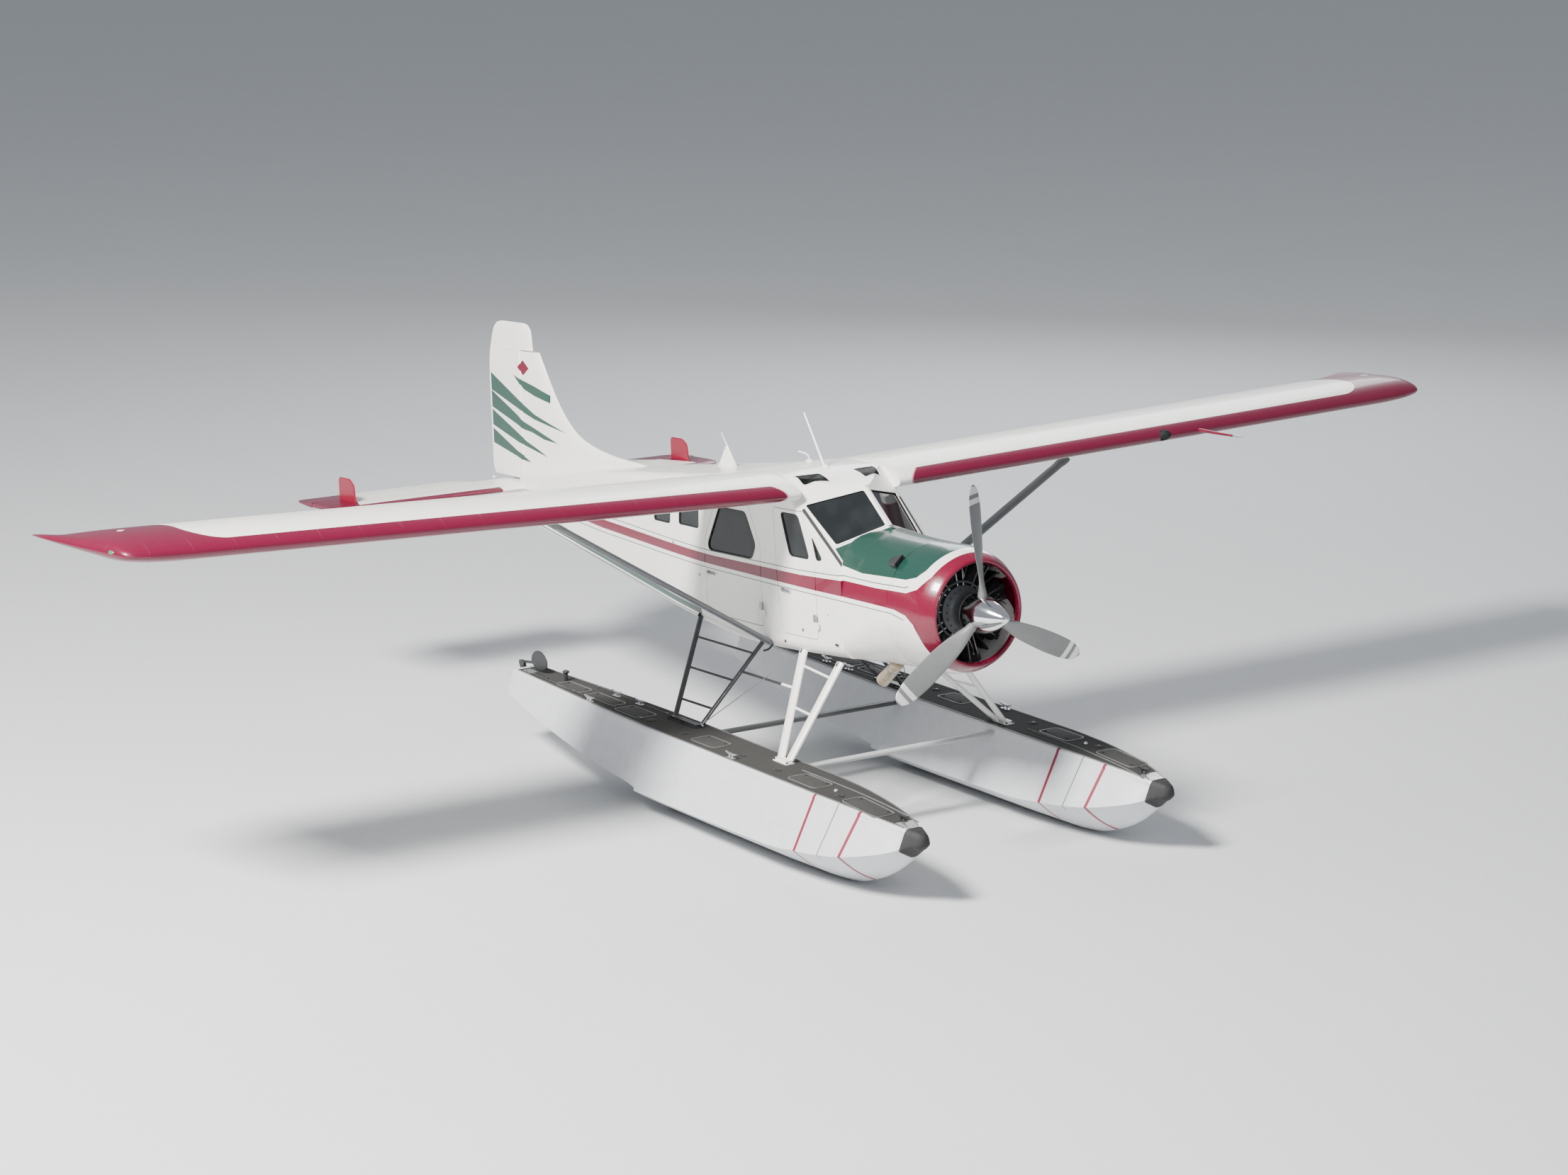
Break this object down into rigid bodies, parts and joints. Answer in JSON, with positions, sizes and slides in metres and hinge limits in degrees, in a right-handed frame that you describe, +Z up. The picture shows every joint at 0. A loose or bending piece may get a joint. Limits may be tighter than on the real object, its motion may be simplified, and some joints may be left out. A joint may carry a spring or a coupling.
{
  "type": "single-engine high-wing floatplane",
  "caption": "High-wing bush aeroplane with a radial engine in a round cowl, standing on long floats with struts, ladders and water rudders.",
  "frame": {"origin": "on the floor between the two floats' keels, at the middle of the whole length", "axes": "+X to the aeroplane's left, -Y towards its nose, +Z up; the fuselage sits 3.33 degrees nose-up"},
  "size_m": [15.3494, 10.0666, 3.948],
  "materials": {
    "white_paint": "gloss",
    "green_paint": "gloss",
    "crimson_paint": "gloss",
    "red_paint": "gloss",
    "grey_paint": "satin",
    "float_paint": "satin",
    "black_paint": "satin",
    "engine_iron": "satin",
    "exhaust_steel": "satin",
    "spinner_chrome": "polished",
    "propeller_metal": "satin",
    "window_glass": "gloss",
    "bumper_rubber": "matte",
    "seat_cloth": "matte",
    "panel_black": "matte"
  },
  "bodies": {
    "airframe": {"cabin_shell": "white_paint", "rear_fuselage": "white_paint", "wing_left": "white_paint", "wing_right": "white_paint", "fin": "white_paint", "tailplane_left": "white_paint", "tailplane_right": "white_paint", "whip_antenna": "white_paint", "blade_antenna": "white_paint", "front_strut_left": "white_paint", "front_strut_right": "white_paint", "nose_cowl": "green_paint", "cowl_ring": "crimson_paint", "finlet_left": "red_paint", "finlet_right": "red_paint", "wing_strut_left": "grey_paint", "wing_strut_right": "grey_paint", "front_spreader": "grey_paint", "rear_spreader": "grey_paint", "float_left": "float_paint", "float_right": "float_paint", "rear_strut_left": "black_paint", "rear_strut_right": "black_paint", "air_scoop": "black_paint", "engine": "engine_iron", "exhaust_stack": "exhaust_steel", "windscreen_left": "window_glass", "windscreen_right": "window_glass", "bow_bumper_left": "bumper_rubber", "bow_bumper_right": "bumper_rubber", "front_seat_left": "seat_cloth", "front_seat_right": "seat_cloth", "rear_seat": "seat_cloth", "instrument_panel": "panel_black"},
    "propeller": {"propeller": "propeller_metal", "spinner": "spinner_chrome"},
    "flap_left": {"flap_left": "white_paint"},
    "flap_right": {"flap_right": "white_paint"},
    "aileron_left": {"aileron_left": "white_paint"},
    "aileron_right": {"aileron_right": "white_paint"},
    "front_door_left": {"front_door_left": "white_paint"},
    "front_door_right": {"front_door_right": "white_paint"},
    "rear_door_left": {"rear_door_left": "white_paint"},
    "rear_door_right": {"rear_door_right": "white_paint"},
    "water_rudder_post_left": {"water_rudder_post_left": "black_paint"},
    "water_rudder_post_right": {"water_rudder_post_right": "black_paint"},
    "water_rudder_blade_left": {"water_rudder_blade_left": "black_paint"},
    "water_rudder_blade_right": {"water_rudder_blade_right": "black_paint"},
    "rudder": {"rudder": "white_paint"},
    "elevator": {"elevator": "white_paint"}
  },
  "joints": [
    {"name": "propeller_spin", "type": "hinge", "parent": "airframe", "child": "propeller", "pos_m": [0, -3.88722, 2.29371], "axis": [0, 0.9983, -0.0581], "continuous": true},
    {"name": "rudder_turn", "type": "hinge", "parent": "airframe", "child": "rudder", "pos_m": [0, 4.22175, 2.21255], "axis": [0, 0.0581, 0.9983], "range_deg": [-25, 25]},
    {"name": "elevator_tilt", "type": "hinge", "parent": "airframe", "child": "elevator", "pos_m": [0, 4.62375, 2.14909], "axis": [1, 0, 0], "range_deg": [-20, 27]},
    {"name": "flap_left_lower", "type": "hinge", "parent": "airframe", "child": "flap_left", "pos_m": [2.3532, -0.69743, 3.14435], "axis": [0.9995, 0.0018, 0.0314], "range_deg": [-50, 0]},
    {"name": "aileron_left_tilt", "type": "hinge", "parent": "airframe", "child": "aileron_left", "pos_m": [5.4047, -0.69186, 3.24008], "axis": [0.9995, 0.0018, 0.0314], "range_deg": [-14, 24]},
    {"name": "front_door_left_open", "type": "hinge", "parent": "airframe", "child": "front_door_left", "pos_m": [0.64, -2.24339, 1.96768], "axis": [0, 0.0581, 0.9983], "range_deg": [-85, 0]},
    {"name": "rear_door_left_open", "type": "hinge", "parent": "airframe", "child": "rear_door_left", "pos_m": [0.64, -1.32793, 1.91441], "axis": [0, 0.0581, 0.9983], "range_deg": [-75, 0]},
    {"name": "water_rudder_left_steer", "type": "hinge", "parent": "airframe", "child": "water_rudder_post_left", "pos_m": [1.4, 1.9227, 0.7], "axis": [0, 0, 1], "range_deg": [-30, 30]},
    {"name": "water_rudder_left_lift", "type": "hinge", "parent": "water_rudder_post_left", "child": "water_rudder_blade_left", "pos_m": [1.4, 1.9847, 0.835], "axis": [1, 0, 0], "range_deg": [-230, 0]},
    {"name": "flap_right_lower", "type": "hinge", "parent": "airframe", "child": "flap_right", "pos_m": [-2.3532, -0.69743, 3.14435], "axis": [0.9995, -0.0018, -0.0314], "range_deg": [-50, 0]},
    {"name": "aileron_right_tilt", "type": "hinge", "parent": "airframe", "child": "aileron_right", "pos_m": [-5.4047, -0.69186, 3.24008], "axis": [0.9995, -0.0018, -0.0314], "range_deg": [-14, 24]},
    {"name": "front_door_right_open", "type": "hinge", "parent": "airframe", "child": "front_door_right", "pos_m": [-0.64, -2.24339, 1.96768], "axis": [0, 0.0581, 0.9983], "range_deg": [0, 85]},
    {"name": "rear_door_right_open", "type": "hinge", "parent": "airframe", "child": "rear_door_right", "pos_m": [-0.64, -1.32793, 1.91441], "axis": [0, 0.0581, 0.9983], "range_deg": [0, 75]},
    {"name": "water_rudder_right_steer", "type": "hinge", "parent": "airframe", "child": "water_rudder_post_right", "pos_m": [-1.4, 1.9227, 0.7], "axis": [0, 0, 1], "range_deg": [-30, 30]},
    {"name": "water_rudder_right_lift", "type": "hinge", "parent": "water_rudder_post_right", "child": "water_rudder_blade_right", "pos_m": [-1.4, 1.9847, 0.835], "axis": [1, 0, 0], "range_deg": [-230, 0]}
  ],
  "couplings": [
    {"joint": "flap_right_lower", "follows": "flap_left_lower", "ratio": 1},
    {"joint": "water_rudder_left_steer", "follows": "rudder_turn", "ratio": 1.2},
    {"joint": "water_rudder_right_steer", "follows": "rudder_turn", "ratio": 1.2},
    {"joint": "water_rudder_right_lift", "follows": "water_rudder_left_lift", "ratio": 1}
  ]
}
